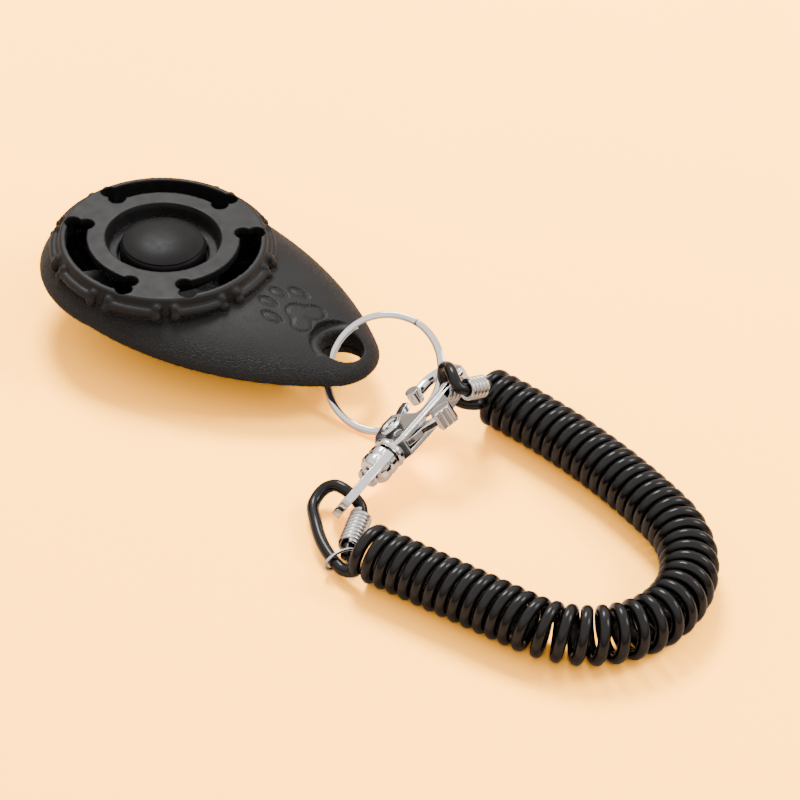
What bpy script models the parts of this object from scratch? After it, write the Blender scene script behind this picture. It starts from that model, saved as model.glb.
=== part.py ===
"""Clicker trainer: a teardrop clicker on a split ring, a trigger snap and a coiled wrist cord.

Sizes below are in millimetres and MM turns them into metres. The origin lies on the floor under the
button's axis, +X points along the body to its tail hole and +Z points up.
"""

import math

import bmesh
import bpy
import numpy as np
from mathutils import Matrix, Vector

MM = 0.001
COLLECTION = "clicker_trainer"

# Body: an egg outline of four arcs, lofted over cross-sections.
ROUND_RADIUS = 21.4
TAIL_RADIUS = 9.3
BODY_TIP_X = 43.0
SIDE_RADIUS = 58.0
EQUATOR_Z = 10.6
EQUATOR_DROP = 4.3
CROWN = 6.2
DEPTH = 13.3
WALL = 1.6
SEAM_GAP = 0.2

# Platform, recess and speaker slots.
PLATFORM_Z = 17.0
PLATFORM_RADIUS = 17.9
RECESS_RADIUS = 10.0
BUTTON_RADIUS = 7.5
SLOT_RADIUS = 15.05
SLOT_HALF_ANGLE = 40.0
BONE_COUNT = 10
BONE_RING_RADIUS = 19.1
BONE_RING_Z = 14.1

# Tail hole.
HOLE_X = 37.0
HOLE_RADIUS = 3.7
HOLE_FLARE = 0.9
HOLE_LOW_Z = 5.0
HOLE_HIGH_Z = 10.2

# Inside.
REED_ANGLE = -120.0
REED_Z = 8.6
REED_CLAMP_RADIUS = 11.0
REED_THICKNESS = 0.4
REED_SCREW_AT = 13.4
SCREW_RADIUS_AT = 14.6
SCREW_ANGLES = (60.0, 180.0, 300.0)

# Split ring.
RING_CENTRE = (45.3, 0.2, 7.62)
RING_TILT = 48.0
RING_RADIUS = 10.2
RING_WIRE = 0.6
RING_HALF_GAP = 0.33
RING_CROSSOVER = (95.0, 140.0)

# Trigger snap: its own frame has X to the thumb side, Y to the hook's head, Z out of the boss face.
SNAP_ORIGIN = (56.25, -20.2, 5.4)
SNAP_AXIS = (0.070, 0.969, 0.239)
SNAP_ROLL = 32.0
SNAP_HALF = 1.7
SLOT_HALF = 0.85
PIN_AT = (0.6, 7.6)
BOW_CENTRE = (-2.2, 21.4)
BOW_RADIUS = 3.95
BOW_WIRE = 1.0
RAIL = ((1.7, 4.7, 1.3), (2.35, 6.4, 1.5), (2.5, 12.0, 1.5), (2.45, 18.0, 1.5), (2.1, 23.6, 1.4))
EYE_TURN = 29.7

# Coiled cord.
CORD_RADIUS = 1.03
COIL_RADIUS = 3.85
COIL_Z = 4.92
COIL_START = (65.5, -37.2)
COIL_ARCS = ((29.8, 0.0, 2.30), (27.0, 90.0, 2.80), (22.1, 65.0, 2.72), (41.9, 20.0, 2.33))


# ---------------------------------------------------------------- scene helpers

def clear_scene():
    for obj in list(bpy.data.objects):
        bpy.data.objects.remove(obj, do_unlink=True)


def make_collection(name, hidden=False):
    group = bpy.data.collections.new(name)
    bpy.context.scene.collection.children.link(group)
    group.hide_render = hidden
    return group


clear_scene()
PARTS = make_collection(COLLECTION)
CUTTERS = make_collection("cutters", hidden=True)


def material(name, colour, roughness, metallic=0.0):
    made = bpy.data.materials.new(name)
    made.use_nodes = True
    shader = made.node_tree.nodes["Principled BSDF"]
    shader.inputs["Base Color"].default_value = (*colour, 1.0)
    shader.inputs["Roughness"].default_value = roughness
    shader.inputs["Metallic"].default_value = metallic
    return made


def link(obj, group=None):
    (group or PARTS).objects.link(obj)
    return obj


def as_cutter(obj):
    for group in list(obj.users_collection):
        group.objects.unlink(obj)
    CUTTERS.objects.link(obj)
    obj.hide_render = True
    obj.display_type = "WIRE"
    return obj


def face_outwards(bm):
    bmesh.ops.recalc_face_normals(bm, faces=bm.faces)
    if bm.calc_volume(signed=True) < 0:
        bmesh.ops.reverse_faces(bm, faces=bm.faces)


def mesh_object(name, bm, group=None):
    face_outwards(bm)
    mesh = bpy.data.meshes.new(name)
    bm.to_mesh(mesh)
    bm.free()
    return link(bpy.data.objects.new(name, mesh), group)


def real_mesh(obj, turn_faces=True):
    """The object's evaluated shape as a plain welded mesh object in the same place."""
    bpy.context.view_layer.update()
    graph = bpy.context.evaluated_depsgraph_get()
    mesh = bpy.data.meshes.new_from_object(obj.evaluated_get(graph))
    bm = bmesh.new()
    bm.from_mesh(mesh)
    bmesh.ops.remove_doubles(bm, verts=bm.verts, dist=0.000001)
    if turn_faces:
        face_outwards(bm)
    bm.to_mesh(mesh)
    bm.free()
    matrix = obj.matrix_world.copy()
    groups = list(obj.users_collection)
    wanted = obj.name
    bpy.data.objects.remove(obj, do_unlink=True)
    made = bpy.data.objects.new(wanted, mesh)
    made.matrix_world = matrix
    for group in groups:
        group.objects.link(made)
    return made


def boolean(obj, other, operation):
    change = obj.modifiers.new(f"{operation.lower()}_{other.name}", "BOOLEAN")
    change.operation = operation
    change.solver = "EXACT"
    change.object = other
    return obj


def join(obj, other):
    """Unites two solids and drops the second, leaving a plain mesh."""
    boolean(obj, other, "UNION")
    made = real_mesh(obj, turn_faces=False)
    bpy.data.objects.remove(other, do_unlink=True)
    return made


def cut(obj, other):
    boolean(obj, as_cutter(other), "DIFFERENCE")
    made = real_mesh(obj, turn_faces=False)
    bpy.data.objects.remove(other, do_unlink=True)
    return made


def smooth(obj, angle=35.0):
    obj.data.shade_smooth()
    obj.data.set_sharp_from_angle(angle=math.radians(angle))
    return obj


def finish(obj, finish_material):
    obj.data.materials.clear()
    obj.data.materials.append(finish_material)
    return smooth(obj)


# ---------------------------------------------------------------- shape helpers

def cylinder(name, radius, low, high, centre=(0.0, 0.0), segments=32, radius_high=None):
    bm = bmesh.new()
    bmesh.ops.create_cone(
        bm,
        cap_ends=True,
        segments=segments,
        radius1=radius * MM,
        radius2=(radius if radius_high is None else radius_high) * MM,
        depth=(high - low) * MM,
    )
    middle = (centre[0] * MM, centre[1] * MM, (low + high) / 2 * MM)
    bmesh.ops.translate(bm, verts=bm.verts, vec=middle)
    return mesh_object(name, bm)


def box(name, low, high):
    bm = bmesh.new()
    bmesh.ops.create_cube(bm, size=MM)
    size = [b - a for a, b in zip(low, high)]
    bmesh.ops.scale(bm, verts=bm.verts, vec=size)
    middle = [(a + b) / 2 * MM for a, b in zip(low, high)]
    bmesh.ops.translate(bm, verts=bm.verts, vec=middle)
    return mesh_object(name, bm)


def turned(name, profile, segments=40):
    """A turned solid from (radius, z) points that run down the outside, from axis to axis."""
    bm = bmesh.new()
    verts = [bm.verts.new((r * MM, 0, z * MM)) for r, z in profile]
    for first, second in zip(verts, verts[1:]):
        bm.edges.new((first, second))
    mesh = bpy.data.meshes.new(name)
    bm.to_mesh(mesh)
    bm.free()
    obj = link(bpy.data.objects.new(name, mesh))
    screw = obj.modifiers.new("turn", "SCREW")
    screw.steps = segments
    screw.render_steps = segments
    screw.use_merge_vertices = True
    screw.merge_threshold = 0.00001
    return real_mesh(obj)


def plate(name, outline, low, high):
    """A flat outline in XY, filled and extruded from z low to z high."""
    curve = bpy.data.curves.new(name, "CURVE")
    curve.dimensions = "2D"
    curve.fill_mode = "BOTH"
    curve.extrude = (high - low) / 2 * MM
    spline = curve.splines.new("POLY")
    spline.points.add(len(outline) - 1)
    for point, (x, y) in zip(spline.points, outline):
        point.co = (x * MM, y * MM, 0, 1)
    spline.use_cyclic_u = True
    obj = link(bpy.data.objects.new(name, curve))
    obj.location.z = (low + high) / 2 * MM
    made = real_mesh(obj)
    made.data.transform(made.matrix_world)
    made.matrix_world = Matrix.Identity(4)
    return made


def tube(name, points, radius, bevel=1, cyclic=False):
    """A round wire or cord along points in millimetres."""
    curve = bpy.data.curves.new(name, "CURVE")
    curve.dimensions = "3D"
    curve.bevel_depth = radius * MM
    curve.bevel_resolution = bevel
    curve.use_fill_caps = not cyclic
    spline = curve.splines.new("POLY")
    spline.points.add(len(points) - 1)
    for point, place in zip(spline.points, points):
        point.co = (*[value * MM for value in place], 1)
    spline.use_cyclic_u = cyclic
    return real_mesh(link(bpy.data.objects.new(name, curve)))


def arc(centre, radius, start, end, steps):
    """Points on an arc in XY, with angles in degrees."""
    angles = np.radians(np.linspace(start, end, steps + 1))
    return [(centre[0] + radius * math.cos(a), centre[1] + radius * math.sin(a)) for a in angles]


def through(points, step):
    """A smooth path through the points: centripetal Catmull-Rom, resampled at about one step."""
    given = [Vector(p) for p in points]
    padded = [2 * given[0] - given[1], *given, 2 * given[-1] - given[-2]]
    path = [given[0]]
    for i in range(1, len(padded) - 2):
        p0, p1, p2, p3 = padded[i - 1 : i + 3]
        t1 = (p1 - p0).length ** 0.5
        t2 = t1 + (p2 - p1).length ** 0.5
        t3 = t2 + (p3 - p2).length ** 0.5
        count = max(1, round((p2 - p1).length / step))
        for k in range(1, count + 1):
            t = t1 + (t2 - t1) * k / count
            a1 = p0.lerp(p1, t / t1)
            a2 = p1.lerp(p2, (t - t1) / (t2 - t1))
            a3 = p2.lerp(p3, (t - t2) / (t3 - t2))
            b1 = a1.lerp(a2, t / t2)
            b2 = a2.lerp(a3, (t - t1) / (t3 - t1))
            path.append(b1.lerp(b2, (t - t1) / (t2 - t1)))
    return path


def helix_along(start, end, radius, turns, per_turn=10, phase=0.0):
    """Points of a helix about the straight line from start to end."""
    start, end = Vector(start), Vector(end)
    frame = (end - start).to_track_quat("Z", "X").to_matrix()
    count = round(turns * per_turn)
    points = []
    for k in range(count + 1):
        angle = phase + 2 * math.pi * turns * k / count
        offset = Vector((radius * math.cos(angle), radius * math.sin(angle), 0))
        points.append(start.lerp(end, k / count) + frame @ offset)
    return points


# ---------------------------------------------------------------- the egg-shaped body

def half_width(x):
    """Half the outline's width at x: a round end, a tail arc and two wide side arcs."""
    tail_x = BODY_TIP_X - TAIL_RADIUS
    to_round = SIDE_RADIUS - ROUND_RADIUS
    to_tail = SIDE_RADIUS - TAIL_RADIUS
    side_x = (to_round**2 - to_tail**2 + tail_x**2) / (2 * tail_x)
    side_y = math.sqrt(to_round**2 - side_x**2)
    join_round = -side_x * ROUND_RADIUS / to_round
    join_tail = tail_x + (tail_x - side_x) * TAIL_RADIUS / to_tail
    if x <= join_round:
        return math.sqrt(max(ROUND_RADIUS**2 - x**2, 0.0))
    if x >= join_tail:
        return math.sqrt(max(TAIL_RADIUS**2 - (x - tail_x) ** 2, 0.0))
    return math.sqrt(SIDE_RADIUS**2 - (x - side_x) ** 2) - side_y


def equator(x):
    """Height of the widest line, which sinks towards the tail."""
    return EQUATOR_Z - EQUATOR_DROP * max(x / BODY_TIP_X, 0.0) ** 0.8


def crown_share(x):
    share = half_width(x) / ROUND_RADIUS
    return share if x < 0 else share**0.69


def depth_share(x):
    share = half_width(x) / ROUND_RADIUS
    return share**2.4 if x < 0 else share**2.23


def egg(name, inset=0.0, end_x=None, rings=26, around=36):
    """The body's outer form, or a cavity set in by inset and closed off before end_x."""
    bm = bmesh.new()
    bmesh.ops.create_uvsphere(bm, u_segments=around, v_segments=rings, radius=1.0)
    low_x = -ROUND_RADIUS + inset
    high_x = BODY_TIP_X if end_x is None else end_x
    for vert in bm.verts:
        along = vert.co.z
        x = (low_x + high_x) / 2 + along * (high_x - low_x) / 2
        angle = math.atan2(vert.co.y, vert.co.x)
        side, rise = math.cos(angle), math.sin(angle)
        if abs(along) > 0.9999:
            side = rise = 0.0
        width = max(half_width(x) - inset, 0.0)
        if end_x is not None:
            width *= math.sqrt(max(1 - max((x - end_x + 4) / 4, 0.0) ** 2, 0.0))
        ends = min(width / max(half_width(x), 0.001), 1.0) if inset else 1.0
        if rise >= 0:
            z = equator(x) + max(CROWN * crown_share(x) - inset, 0.0) * rise * ends
        else:
            drop = DEPTH * depth_share(x) * abs(rise) ** 2.4
            z = max(equator(x) - max(drop - inset * abs(rise), 0.0) * ends, inset)
        vert.co = Vector((x, width * side, z)) * MM
    return mesh_object(name, bm)


def above_seam(name, shift):
    """A block under the seam surface, which follows the equator, raised by shift."""
    xs = np.linspace(-30.0, 50.0, 33)
    outline = [(x, equator(x) + shift) for x in xs] + [(50.0, -12.0), (-30.0, -12.0)]
    block = plate(name, outline, -30.0, 30.0)
    block.data.transform(Matrix.Rotation(math.radians(90), 4, "X"))
    return block


def bone_slot(name, angle):
    """A bone-shaped through slot: a curved bar with two lobes at each end."""
    bar_half = 1.8
    outer = arc((0, 0), SLOT_RADIUS + bar_half, -SLOT_HALF_ANGLE, SLOT_HALF_ANGLE, 14)
    inner = arc((0, 0), SLOT_RADIUS - bar_half, SLOT_HALF_ANGLE, -SLOT_HALF_ANGLE, 14)
    slot = plate(name, outer + inner, 11.0, 19.0)
    for end in (-1, 1):
        for offset in (-1.2, 1.2):
            lobe_at = math.radians(end * (SLOT_HALF_ANGLE + 0.5))
            radius = SLOT_RADIUS + offset
            centre = (radius * math.cos(lobe_at), radius * math.sin(lobe_at))
            slot = join(slot, cylinder(f"{name}_lobe", 1.45, 11.0 - 0.01, 19.01, centre, 14))
    slot.data.transform(Matrix.Rotation(math.radians(angle), 4, "Z"))
    return slot


def bone_relief(name, angle):
    """One bone of the ring round the platform: a bowed bar with two knobs at each end."""
    half = 12.6
    bar = [(x, y, BONE_RING_Z) for x, y in arc((0, 0), BONE_RING_RADIUS, -half, half, 3)]
    bone = tube(name, bar, 0.85)
    for end in (-1, 1):
        for offset, rise in ((-0.35, 0.55), (0.35, -0.5)):
            at = math.radians(end * (half + 0.6))
            radius = BONE_RING_RADIUS + offset
            knob = bmesh.new()
            bmesh.ops.create_icosphere(knob, subdivisions=1, radius=0.95 * MM)
            place = (radius * math.cos(at), radius * math.sin(at), BONE_RING_Z + rise)
            bmesh.ops.translate(knob, verts=knob.verts, vec=Vector(place) * MM)
            bone = join(bone, mesh_object(f"{name}_knob", knob))
    bone.data.transform(Matrix.Rotation(math.radians(angle), 4, "Z"))
    return bone


def hole_cutter(name):
    """The tail hole with rims that flare at the top and underneath."""
    wide = HOLE_RADIUS + HOLE_FLARE + 1
    middle_low = HOLE_LOW_Z + HOLE_FLARE
    middle_high = HOLE_HIGH_Z - HOLE_FLARE
    profile = [(0.0, HOLE_HIGH_Z + 4), (wide, HOLE_HIGH_Z + 4), (wide, HOLE_HIGH_Z + 0.02)]
    for k in range(5):
        a = math.radians(22.5 * k)
        radius = HOLE_RADIUS + HOLE_FLARE * (1 - math.sin(a))
        profile.append((radius, middle_high + HOLE_FLARE * math.cos(a)))
    for k in range(5):
        a = math.radians(22.5 * k)
        radius = HOLE_RADIUS + HOLE_FLARE * (1 - math.cos(a))
        profile.append((radius, middle_low - HOLE_FLARE * math.sin(a)))
    profile += [(wide, HOLE_LOW_Z - 0.02), (wide, -2.0), (0.0, -2.0)]
    cutter = turned(name, profile, 28)
    cutter.data.transform(Matrix.Translation((HOLE_X * MM, 0, 0)))
    return cutter


def polar(radius, angle):
    a = math.radians(angle)
    return (radius * math.cos(a), radius * math.sin(a))


def reed_frame():
    """Turns local X along the reed, from the button's axis out to the clamp."""
    return Matrix.Rotation(math.radians(REED_ANGLE), 4, "Z")


def upper_shell(plastic):
    shell = egg("upper_shell")
    disc = [
        (0.0, PLATFORM_Z),
        (PLATFORM_RADIUS - 0.35, PLATFORM_Z),
        (PLATFORM_RADIUS, PLATFORM_Z - 0.15),
        (PLATFORM_RADIUS + 0.25, PLATFORM_Z - 0.7),
        (PLATFORM_RADIUS + 0.75, BONE_RING_Z),
        (PLATFORM_RADIUS + 0.9, BONE_RING_Z - 2.5),
        (0.0, BONE_RING_Z - 2.5),
    ]
    shell = join(shell, turned("platform", disc, 50))
    for k in range(BONE_COUNT):
        shell = join(shell, bone_relief("bone", k * 360 / BONE_COUNT))
    cavity = egg("upper_cavity", WALL, 29.0, 18, 24)
    room = cylinder("platform_room", PLATFORM_RADIUS - 1.2, 9.0, PLATFORM_Z - 1.6, segments=40)
    cavity = join(cavity, room)
    for angle in SCREW_ANGLES:
        cavity = cut(cavity, cylinder("boss", 2.3, 0.0, 20.0, polar(SCREW_RADIUS_AT, angle), 20))
    neck = turned(
        "neck",
        [(0.0, 19.0), (RECESS_RADIUS + 1.2, 19.0), (RECESS_RADIUS + 1.2, 13.1), (0.0, 13.1)],
        40,
    )
    cavity = cut(cavity, neck)
    shell = cut(shell, cavity)
    recess = turned(
        "recess",
        [
            (0.0, 19.0),
            (RECESS_RADIUS, 19.0),
            (RECESS_RADIUS, PLATFORM_Z - 0.3),
            (RECESS_RADIUS - 0.35, PLATFORM_Z - 1.5),
            (RECESS_RADIUS - 1.0, PLATFORM_Z - 1.55),
            (RECESS_RADIUS - 1.2, 14.5),
            (BUTTON_RADIUS + 0.35, 14.4),
            (BUTTON_RADIUS + 0.35, 12.0),
            (0.0, 12.0),
        ],
        40,
    )
    shell = cut(shell, recess)
    for k, angle in enumerate((0, 120, 240)):
        shell = cut(shell, bone_slot(f"slot_{k}", angle))
    for angle in SCREW_ANGLES:
        shell = cut(shell, cylinder("pilot", 1.1, 0.0, 13.9, polar(SCREW_RADIUS_AT, angle), 16))
    shell = cut(shell, hole_cutter("tail_hole"))
    shell = cut(shell, above_seam("below_seam", SEAM_GAP / 2))
    return finish(shell, plastic)


def lower_shell(plastic):
    shell = egg("lower_shell")
    cavity = egg("lower_cavity", WALL, 29.0, 18, 24)
    for angle in SCREW_ANGLES:
        cavity = cut(cavity, cylinder("post", 3.3, -1.0, 12.0, polar(SCREW_RADIUS_AT, angle), 24))
    pedestal = box("pedestal", (9.4, -4.4, -1.0), (15.6, 4.4, 7.2))
    pedestal.data.transform(reed_frame())
    cavity = cut(cavity, pedestal)
    shell = cut(shell, cavity)
    for angle in SCREW_ANGLES:
        at = polar(SCREW_RADIUS_AT, angle)
        shell = cut(shell, cylinder("counterbore", 2.3, -1.0, 6.6, at, 20))
        shell = cut(shell, cylinder("clearance", 1.2, 0.0, 12.0, at, 16))
    screw_hole = cylinder("reed_screw_hole", 0.95, 5.2, 9.0, (REED_SCREW_AT, 0.0), 14)
    screw_hole.data.transform(reed_frame())
    shell = cut(shell, screw_hole)
    shell = cut(shell, hole_cutter("tail_hole"))
    top = above_seam("above_seam_low", -SEAM_GAP / 2)
    keep = box("keep", (-29.9, -29.9, -11.0), (49.9, 29.9, 30.0))
    keep = cut(keep, top)
    shell = cut(shell, keep)
    return finish(shell, plastic)


def button_cap(plastic):
    dome_rise = 1.35
    dome = []
    for k in range(7):
        share = k / 6
        dome.append((BUTTON_RADIUS * 0.93 * share, PLATFORM_Z + 0.45 - dome_rise * share**2.4))
    profile = dome + [
        (BUTTON_RADIUS - 0.12, PLATFORM_Z - 1.45),
        (BUTTON_RADIUS, PLATFORM_Z - 2.1),
        (BUTTON_RADIUS, 12.85),
        (BUTTON_RADIUS + 1.0, 12.75),
        (BUTTON_RADIUS + 1.0, 11.8),
        (BUTTON_RADIUS - 1.2, 11.8),
        (BUTTON_RADIUS - 1.2, 14.2),
        (2.0, 14.4),
        (1.9, 10.4),
        (1.2, 9.75),
        (0.0, 9.7),
    ]
    return finish(turned("button_cap", profile, 30), plastic)


def click_reed(steel):
    """A sprung steel leaf with a formed dimple under the button's stem."""
    bm = bmesh.new()
    bmesh.ops.create_grid(bm, x_segments=22, y_segments=8, size=1.0)
    low_x, high_x, half = -7.4, REED_CLAMP_RADIUS + 0.7, 3.4
    for vert in bm.verts:
        x = (low_x + high_x) / 2 + vert.co.x * (high_x - low_x) / 2
        y = vert.co.y * half
        dimple = 0.55 * math.exp(-(x * x + y * y) / 7.0)
        vert.co = Vector((x, y, REED_Z - REED_THICKNESS / 2 + dimple)) * MM
    reed = mesh_object("click_reed", bm)
    thick = reed.modifiers.new("sheet", "SOLIDIFY")
    thick.thickness = REED_THICKNESS * MM
    thick.offset = 1.0
    reed = real_mesh(reed)
    reed.data.transform(reed_frame())
    return finish(reed, steel)


def reed_holder(plastic):
    """The wedge-topped block that grips the reed's tail."""
    outline = [(9.6, 7.5), (14.8, 7.5), (14.8, 10.9), (10.6, 10.2), (9.6, 9.9)]
    block = plate("reed_holder", outline, -4.4, 4.4)
    block.data.transform(Matrix.Rotation(math.radians(90), 4, "X"))
    block = cut(block, box("slit", (9.0, -3.75, 8.0), (12.1, 3.75, 9.25)))
    block = cut(block, cylinder("screw_way", 1.0, 6.0, 14.0, (REED_SCREW_AT, 0.0), 14))
    block = cut(block, cylinder("head_way", 1.85, 9.7, 14.0, (REED_SCREW_AT, 0.0), 20))
    block.data.transform(reed_frame())
    return finish(block, plastic)


def screw_body(name, head_radius, head_height, shank_radius, shank_length, steel):
    """A pan-head screw that points up along +Z, with a cross recess cut in its head."""
    profile = [
        (0.0, shank_length),
        (shank_radius * 0.5, shank_length - 0.3),
        (shank_radius, shank_length - 1.1),
        (shank_radius, 0.0),
        (head_radius, 0.0),
        (head_radius, -head_height * 0.55),
        (head_radius * 0.7, -head_height),
        (0.0, -head_height),
    ]
    screw = turned(name, profile, 20)
    reach = head_radius * 0.55
    for k in range(2):
        bar = box("cross", (-reach, -0.22, -head_height - 1), (reach, 0.22, -head_height * 0.45))
        bar.data.transform(Matrix.Rotation(math.radians(90 * k), 4, "Z"))
        screw = cut(screw, bar)
    return finish(screw, steel)


# ---------------------------------------------------------------- ring, snap and cord

def ring_frame():
    """Z along the split ring's axis."""
    tilt = math.radians(RING_TILT)
    normal = Vector((0.0, -math.cos(tilt), math.sin(tilt)))
    side = Vector((1.0, 0.0, 0.0))
    up = normal.cross(side)
    frame = Matrix((side, up, normal)).transposed().to_4x4()
    frame.translation = Vector(RING_CENTRE) * MM
    return frame


def split_ring(chrome):
    """Two close turns of flattened wire with one crossover, as on a key ring."""
    cross_from, cross_to = RING_CROSSOVER
    points = []
    for degrees in np.arange(cross_to + 6.0, cross_to + 668.0, 9.0):
        share = (degrees - 360.0 - cross_from) / (cross_to - cross_from)
        share = min(max(share, 0.0), 1.0)
        layer = RING_HALF_GAP * (2 * (3 * share**2 - 2 * share**3) - 1)
        x, y = polar(RING_RADIUS, degrees)
        points.append((x, y, 2 * layer))
    ring = tube("split_ring", points, RING_WIRE, 1)
    ring.data.transform(Matrix.Diagonal((1.0, 1.0, 0.5, 1.0)))
    ring.matrix_world = ring_frame()
    return finish(ring, chrome)


def snap_frame():
    along = Vector(SNAP_AXIS).normalized()
    roll = math.radians(SNAP_ROLL)
    side = Vector((math.cos(roll), 0.0, math.sin(roll)))
    side = (side - side.dot(along) * along).normalized()
    out = side.cross(along)
    frame = Matrix((side, along, out)).transposed().to_4x4()
    frame.translation = Vector(SNAP_ORIGIN) * MM
    return frame


def in_snap(x, y, z=0.0):
    """A point of the snap's own frame, in world millimetres."""
    return (snap_frame() @ (Vector((x, y, z)) * MM)) / MM


def place_in_snap(obj):
    obj.matrix_world = snap_frame() @ obj.matrix_world
    return obj


def round_bar_y(name, sections, segments=24):
    """A turned solid about the snap's Y axis from (radius, y) points that run from head to tail."""
    bar = turned(name, sections, segments)
    bar.data.transform(Matrix.Rotation(math.radians(-90), 4, "X"))
    return bar


def clasp_body(chrome):
    """The hook with its channelled shank, edge rail and the flange that the swivel turns against."""
    bow_x, bow_y = BOW_CENTRE
    outer, inner = BOW_RADIUS + BOW_WIRE, BOW_RADIUS - BOW_WIRE
    outline = [(2.4, 4.4), (3.1, 6.0), (3.3, 12.0), (3.4, 17.5)]
    outline += arc((bow_x, bow_y), outer, 4, 44, 5)
    outline += arc((bow_x, bow_y), inner, 44, 0, 5)
    outline += [(1.2, 18.0), (1.3, 14.0), (0.6, 12.6), (-3.2, 12.2), (-4.9, 11.8), (-5.2, 9.5)]
    outline += [(-4.3, 6.4), (-2.5, 4.4)]
    body = plate("clasp_body", outline, -SNAP_HALF, SNAP_HALF)
    bow = [(x, y, 0.0) for x, y in arc((bow_x, bow_y), BOW_RADIUS, 24, 180, 16)]
    bow.append((bow_x - BOW_RADIUS, bow_y - 2.6, 0.0))
    body = join(body, tube("bow", bow, BOW_WIRE, 2))
    claw = cylinder("claw", 1.25, -1.25, 1.25, (bow_x - BOW_RADIUS, bow_y - 2.9), 20)
    body = join(body, claw)
    flange = [(0.0, 5.7), (1.9, 5.7), (2.55, 5.1), (2.85, 4.6), (2.85, 4.1), (2.6, 3.85), (0.0, 3.85)]
    body = join(body, round_bar_y("flange", flange))
    body = join(body, tube("rail", RAIL, 0.7, 1))
    body = cut(body, box("gate_channel", (-7.0, 6.4, -SLOT_HALF), (0.9, 13.4, SLOT_HALF)))
    body = cut(body, box("thumb_channel", (0.7, 6.3, -SLOT_HALF), (6.0, 14.6, SLOT_HALF)))
    body = cut(body, cylinder("pin_hole", 0.72, -3.0, 3.0, PIN_AT, 16))
    bore = [(0.0, 5.6), (1.1, 5.6), (1.1, 1.0), (0.0, 1.0)]
    body = cut(body, round_bar_y("rivet_bore", bore, 20))
    boss = cylinder("boss", 1.25, SNAP_HALF - 0.2, SNAP_HALF + 0.3, segments=20)
    boss = cut(boss, cylinder("boss_dish", 0.9, SNAP_HALF + 0.1, SNAP_HALF + 1.0, segments=16))
    boss = join(boss, cylinder("boss_dot", 0.4, SNAP_HALF - 0.1, SNAP_HALF + 0.3, segments=12))
    boss.data.transform(Matrix.Diagonal((1.0, 1.7, 1.0, 1.0)))
    boss.data.transform(Matrix.Translation(Vector((-2.8, 9.2, 0)) * MM))
    body = join(body, boss)
    return finish(place_in_snap(body), chrome)


def clasp_lever(chrome):
    """The gate arm and ribbed thumb tab, one rocking piece on the pin."""
    pin_x, pin_y = PIN_AT
    gate = [
        (pin_x - 1.2, pin_y - 0.8), (-3.4, 8.9), (-5.2, 11.0), (-6.6, 14.6), (-6.8, 16.1),
        (-5.5, 16.3), (-5.1, 14.8), (-3.9, 11.8), (pin_x - 1.6, pin_y + 2.2),
    ]
    thumb = [
        (1.8, 11.6), (3.6, 12.2), (4.7, 14.5), (5.9, 15.6), (6.7, 14.7), (5.6, 12.2),
        (3.6, 9.8), (3.1, 8.0), (2.6, pin_y - 0.8), (pin_x + 0.6, pin_y - 1.1),
    ]
    lever = plate("clasp_lever", gate + thumb, -0.6, 0.6)
    tab = plate("thumb_tab", [(3.9, 12.6), (4.8, 14.7), (6.0, 15.8), (6.9, 14.8), (5.7, 12.0)], -1.7, 1.7)
    lever = join(lever, tab)
    for k in range(3):
        at = (5.85 + 0.42 * k, 12.35 + 0.95 * k)
        lever = join(lever, cylinder("rib", 0.3, -1.6, 1.6, at, 8))
    lever = cut(lever, cylinder("lever_hole", 0.75, -2.0, 2.0, PIN_AT, 16))
    return finish(place_in_snap(lever), chrome)


def lever_pin(steel):
    pin = cylinder("lever_pin", 0.6, -SNAP_HALF + 0.1, SNAP_HALF - 0.1, PIN_AT, 16)
    return finish(place_in_snap(pin), steel)


def lever_spring(steel):
    """A small coil that pushes the thumb arm outwards from the shank's floor."""
    points = helix_along((1.62, 12.2, 0), (2.05, 12.2, 0), 0.42, 1.5, 10)
    spring = tube("lever_spring", points, 0.12, 0)
    return finish(place_in_snap(spring), steel)


def swivel_eye(chrome):
    """A forged eye whose two bars run up the sides of the collar that turns on the rivet."""
    outline = arc((0, -6.9), 3.65, 180, 360, 16) + [(3.6, -3.6), (3.4, -0.6), (3.35, 2.9), (2.7, 3.3)]
    outline += [(-2.7, 3.3), (-3.35, 2.9), (-3.4, -0.6), (-3.6, -3.6)]
    eye = plate("swivel_eye", outline, -0.75, 0.75)
    hole = arc((0, -6.9), 2.5, 180, 360, 14)
    hole += [(2.5, -4.2), (2.3, -1.5), (1.9, -0.75), (-1.9, -0.75), (-2.3, -1.5), (-2.5, -4.2)]
    eye = cut(eye, plate("eye_hole", hole, -3.0, 3.0))
    eye.data.transform(Matrix.Rotation(math.radians(-EYE_TURN), 4, "Y"))
    collar = [
        (0.0, 3.55), (2.3, 3.55), (2.75, 3.15), (2.75, 2.0), (2.55, 1.8), (2.55, 1.5), (2.8, 1.3),
        (2.8, 0.3), (2.4, -0.5), (1.7, -0.95), (0.0, -0.95),
    ]
    eye = join(eye, round_bar_y("collar", collar))
    bore = [(0.0, 4.5), (1.15, 4.5), (1.15, -2.0), (0.0, -2.0)]
    eye = cut(eye, round_bar_y("eye_bore", bore, 20))
    return finish(place_in_snap(eye), chrome)


def swivel_rivet(steel):
    """Holds the collar up against the hook's flange, with its formed head inside the eye."""
    profile = [
        (0.0, 5.3), (0.9, 5.3), (0.9, -1.2), (1.45, -1.2), (1.85, -1.6), (1.75, -2.1),
        (1.1, -2.45), (0.0, -2.5),
    ]
    return finish(place_in_snap(round_bar_y("swivel_rivet", profile, 20)), steel)


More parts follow.
